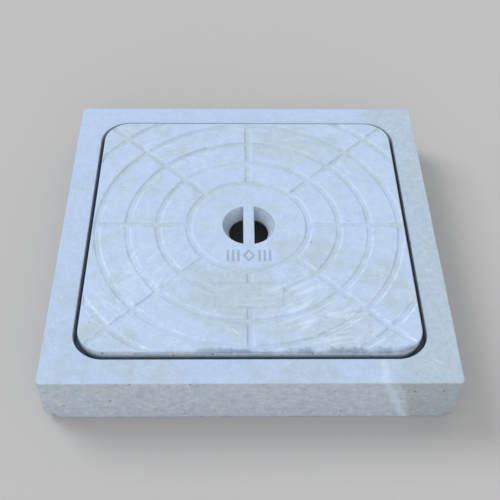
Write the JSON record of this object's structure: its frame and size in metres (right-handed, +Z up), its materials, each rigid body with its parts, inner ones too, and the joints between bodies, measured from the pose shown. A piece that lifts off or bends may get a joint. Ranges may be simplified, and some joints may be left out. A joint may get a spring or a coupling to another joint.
{
  "type": "manhole cover",
  "caption": "Square precast concrete manhole cover with ring-and-spoke tread grooves and a bridged lifting pocket, in a deep square concrete frame with a rebate.",
  "frame": {"origin": "centre of the frame's underside, the face that beds on the shaft", "axes": "+Z up out of the tread, the way the cover lifts; the lifting bridge runs along Y and the blank name panel is on the -Y side; X is across"},
  "size_m": [0.545, 0.545, 0.085],
  "materials": {
    "cover_concrete": "matte",
    "frame_concrete": "matte",
    "mortar": "matte",
    "mild_steel": "matte"
  },
  "bodies": {
    "frame": {"frame_body": "frame_concrete", "frame_ring_bar_upper": "mild_steel", "frame_ring_bar_lower_outer": "mild_steel", "frame_ring_bar_lower_inner": "mild_steel", "frame_link_1": "mild_steel", "frame_link_2": "mild_steel", "frame_link_3": "mild_steel", "frame_link_4": "mild_steel", "frame_link_5": "mild_steel", "frame_link_6": "mild_steel", "frame_link_7": "mild_steel", "frame_link_8": "mild_steel", "frame_spacer_1": "mortar", "frame_spacer_2": "mortar", "frame_spacer_3": "mortar", "frame_spacer_4": "mortar"},
    "cover": {"cover_slab": "cover_concrete", "cover_bar_lower_1": "mild_steel", "cover_bar_lower_2": "mild_steel", "cover_bar_lower_3": "mild_steel", "cover_bar_lower_4": "mild_steel", "cover_bar_lower_5": "mild_steel", "cover_bar_lower_6": "mild_steel", "cover_bar_upper_1": "mild_steel", "cover_bar_upper_2": "mild_steel", "cover_bar_upper_3": "mild_steel", "cover_bar_upper_4": "mild_steel", "cover_bar_upper_5": "mild_steel", "cover_bar_upper_6": "mild_steel", "lifting_rod": "mild_steel", "cover_spacer_1": "mortar", "cover_spacer_2": "mortar", "cover_spacer_3": "mortar", "cover_spacer_4": "mortar"}
  },
  "joints": [
    {"name": "cover_lift", "type": "slide", "parent": "frame", "child": "cover", "axis": [0, 0, 1], "range_m": [0, 0.12]}
  ]
}
